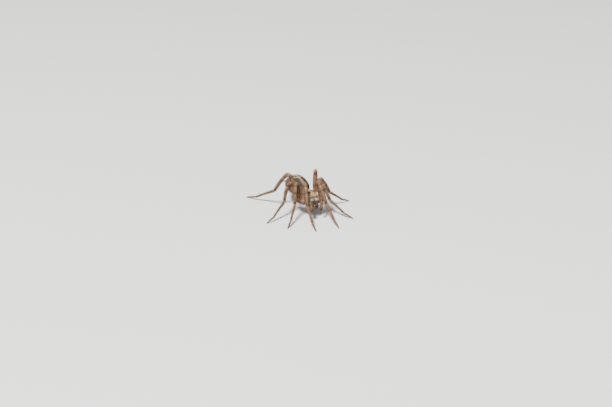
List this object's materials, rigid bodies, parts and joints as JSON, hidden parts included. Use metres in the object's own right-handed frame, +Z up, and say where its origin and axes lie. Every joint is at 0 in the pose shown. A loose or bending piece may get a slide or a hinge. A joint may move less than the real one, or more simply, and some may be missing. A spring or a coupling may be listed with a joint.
{
  "type": "funnel weaver spider",
  "caption": "Life-size tan and brown funnel-web spider standing with high bent knees, body held low and level, long spinnerets behind, one still piece with no joints.",
  "frame": {"origin": "on the floor under the middle of the model's box", "axes": "+Z up from the feet, -Y the way the spider faces, +X its left side"},
  "size_m": [0.0202, 0.024, 0.0079],
  "materials": {
    "carapace": "brown hide with pale down in bands",
    "waist": "satin brown",
    "abdomen": "short dense grey-brown fur with pale chevrons",
    "leg": "tan hide under fine grey hair",
    "palp": "red-brown hide under fine hair",
    "jaw": "glossy dark red-brown",
    "fang": "polished black-brown",
    "eye": "wet black",
    "spinneret": "pale brown, finely haired"
  },
  "bodies": {
    "root": {"cephalothorax": "carapace", "waist": "waist", "abdomen": "abdomen", "spinneret_long_left": "spinneret", "spinneret_short_left": "spinneret", "spinneret_long_right": "spinneret", "spinneret_short_right": "spinneret", "leg_left_1_coxa": "leg", "leg_left_1_femur": "leg", "leg_left_1_tibia": "leg", "leg_left_1_foot": "leg", "leg_left_2_coxa": "leg", "leg_left_2_femur": "leg", "leg_left_2_tibia": "leg", "leg_left_2_foot": "leg", "leg_left_3_coxa": "leg", "leg_left_3_femur": "leg", "leg_left_3_tibia": "leg", "leg_left_3_foot": "leg", "leg_left_4_coxa": "leg", "leg_left_4_femur": "leg", "leg_left_4_tibia": "leg", "leg_left_4_foot": "leg", "leg_right_1_coxa": "leg", "leg_right_1_femur": "leg", "leg_right_1_tibia": "leg", "leg_right_1_foot": "leg", "leg_right_2_coxa": "leg", "leg_right_2_femur": "leg", "leg_right_2_tibia": "leg", "leg_right_2_foot": "leg", "leg_right_3_coxa": "leg", "leg_right_3_femur": "leg", "leg_right_3_tibia": "leg", "leg_right_3_foot": "leg", "leg_right_4_coxa": "leg", "leg_right_4_femur": "leg", "leg_right_4_tibia": "leg", "leg_right_4_foot": "leg", "palp_left_base": "palp", "palp_left_upper": "palp", "palp_left_lower": "palp", "jaw_left": "jaw", "fang_left": "fang", "palp_right_base": "palp", "palp_right_upper": "palp", "palp_right_lower": "palp", "jaw_right": "jaw", "fang_right": "fang", "eye_front_middle_left": "eye", "eye_front_middle_right": "eye", "eye_front_side_left": "eye", "eye_front_side_right": "eye", "eye_rear_middle_left": "eye", "eye_rear_middle_right": "eye", "eye_rear_side_left": "eye", "eye_rear_side_right": "eye"}
  },
  "joints": []
}
